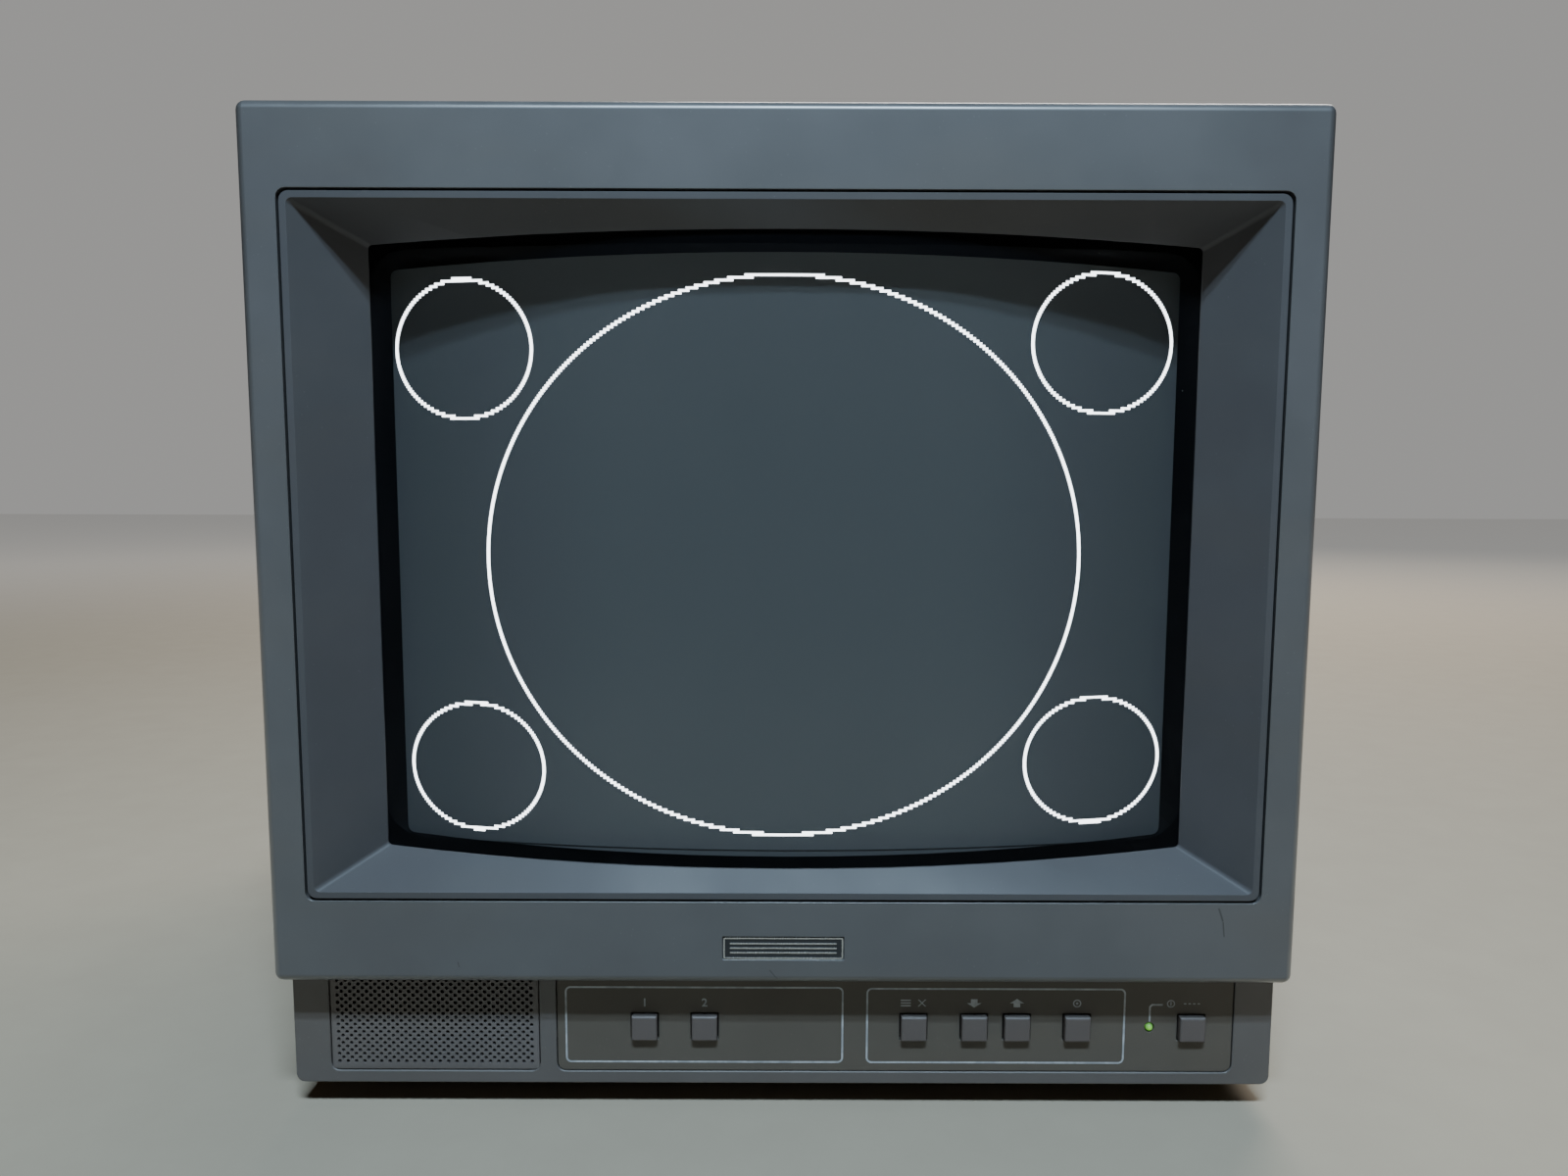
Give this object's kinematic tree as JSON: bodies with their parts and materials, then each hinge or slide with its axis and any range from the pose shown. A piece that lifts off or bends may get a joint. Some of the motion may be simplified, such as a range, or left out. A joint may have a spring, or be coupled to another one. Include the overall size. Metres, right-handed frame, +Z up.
{
  "type": "studio picture monitor",
  "caption": "Desk-top studio monitor with a curved picture tube in a sloped mask, a set-back base with speaker grille and push-button panel, and a steel cabinet.",
  "frame": {"origin": "bottom centre of the whole monitor, on the surface that its feet stand on", "axes": "+Z up, the screen faces -Y, +X to the right of a viewer in front"},
  "size_m": [0.346, 0.414, 0.34],
  "materials": {
    "head_moulding": "fine-textured grey moulding",
    "mask_moulding": "fine-textured grey moulding, slightly darker",
    "base_moulding": "fine-textured grey moulding",
    "panel_moulding": "darker warm grey, fine texture, white printed boxes",
    "grille": "perforated, painted grey",
    "button_plastic": "satin grey",
    "green_lens": "lit green",
    "plate": "satin, blank",
    "painted_steel": "textured grey paint",
    "zinc_steel": "zinc plated",
    "black_plastic": "moulded black",
    "rubber": "matt black",
    "screen_glass": "dark tinted, glossy",
    "clear_glass": "clear",
    "graphite": "black conductive coating on glass",
    "phosphor": "grey phosphor that shows a white circle pattern",
    "copper": "varnished copper windings",
    "ferrite": "dark grey, matt",
    "circuit_board": "green solder mask",
    "red_rubber": "dark red",
    "aluminium": "extruded",
    "nickel": "nickel plated",
    "white_plastic": "moulded white"
  },
  "bodies": {
    "root": {"front_bezel": "head_moulding", "screen_mask": "mask_moulding", "name_plate": "plate", "base_front": "base_moulding", "speaker_grille": "grille", "control_panel": "panel_moulding", "power_light": "green_lens", "control_board": "circuit_board", "power_switch": "black_plastic", "loudspeaker": "black_plastic", "cabinet_cover": "painted_steel", "chassis_tray": "zinc_steel", "rear_panel": "painted_steel", "neck_cover": "black_plastic", "tube_panel": "screen_glass", "phosphor_screen": "phosphor", "aperture_grille": "zinc_steel", "tube_funnel": "graphite", "tube_neck": "clear_glass", "electron_gun": "nickel", "tension_band": "zinc_steel", "deflection_yoke": "copper", "yoke_core": "ferrite", "tube_socket": "black_plastic", "neck_board": "circuit_board", "degauss_coil": "black_plastic", "anode_cap": "red_rubber", "anode_lead": "red_rubber", "flyback_transformer": "black_plastic", "main_board": "circuit_board", "power_board": "circuit_board", "heat_sink": "aluminium", "main_capacitor": "black_plastic", "mains_inlet": "black_plastic", "audio_jacks": "black_plastic", "foot_front_left": "rubber", "foot_front_right": "rubber", "foot_rear_left": "rubber", "foot_rear_right": "rubber", "tube_screw_left_low": "zinc_steel", "tube_screw_left_high": "zinc_steel", "tube_screw_right_low": "zinc_steel", "tube_screw_right_high": "zinc_steel", "video_in_a": "nickel", "video_out_a": "nickel", "video_in_b": "nickel", "video_out_b": "nickel"},
    "input_a_key": {"button_input_a": "button_plastic"},
    "input_b_key": {"button_input_b": "button_plastic"},
    "menu_key": {"button_menu": "button_plastic"},
    "down_key": {"button_down": "button_plastic"},
    "up_key": {"button_up": "button_plastic"},
    "enter_key": {"button_enter": "button_plastic"},
    "power_key": {"button_power": "button_plastic"},
    "purity_ring_turned": {"purity_ring": "white_plastic"},
    "convergence_ring_front_turned": {"convergence_ring_front": "white_plastic"},
    "convergence_ring_rear_turned": {"convergence_ring_rear": "white_plastic"},
    "focus_knob_turned": {"focus_knob": "white_plastic"},
    "screen_knob_turned": {"screen_knob": "white_plastic"}
  },
  "joints": [
    {"name": "press_input_a", "type": "slide", "parent": "root", "child": "input_a_key", "axis": [0, 1, 0], "range_m": [0, 0.0012], "stiffness_N_per_m": 800},
    {"name": "press_input_b", "type": "slide", "parent": "root", "child": "input_b_key", "axis": [0, 1, 0], "range_m": [0, 0.0012], "stiffness_N_per_m": 800},
    {"name": "press_menu", "type": "slide", "parent": "root", "child": "menu_key", "axis": [0, 1, 0], "range_m": [0, 0.0012], "stiffness_N_per_m": 800},
    {"name": "press_down", "type": "slide", "parent": "root", "child": "down_key", "axis": [0, 1, 0], "range_m": [0, 0.0012], "stiffness_N_per_m": 800},
    {"name": "press_up", "type": "slide", "parent": "root", "child": "up_key", "axis": [0, 1, 0], "range_m": [0, 0.0012], "stiffness_N_per_m": 800},
    {"name": "press_enter", "type": "slide", "parent": "root", "child": "enter_key", "axis": [0, 1, 0], "range_m": [0, 0.0012], "stiffness_N_per_m": 800},
    {"name": "press_power", "type": "slide", "parent": "root", "child": "power_key", "axis": [0, 1, 0], "range_m": [0, 0.003], "stiffness_N_per_m": 500},
    {"name": "turn_purity_ring", "type": "hinge", "parent": "root", "child": "purity_ring_turned", "pos_m": [0, 0, 0.196], "axis": [0, 1, 0], "continuous": true},
    {"name": "turn_convergence_ring_front", "type": "hinge", "parent": "root", "child": "convergence_ring_front_turned", "pos_m": [0, 0, 0.196], "axis": [0, 1, 0], "continuous": true},
    {"name": "turn_convergence_ring_rear", "type": "hinge", "parent": "root", "child": "convergence_ring_rear_turned", "pos_m": [0, 0, 0.196], "axis": [0, 1, 0], "continuous": true},
    {"name": "turn_focus_knob", "type": "hinge", "parent": "root", "child": "focus_knob_turned", "pos_m": [0.11154, 0.1288, 0.06755], "axis": [0, 1, 0], "range_deg": [-135, 135]},
    {"name": "turn_screen_knob", "type": "hinge", "parent": "root", "child": "screen_knob_turned", "pos_m": [0.11154, 0.1288, 0.04755], "axis": [0, 1, 0], "range_deg": [-135, 135]}
  ]
}
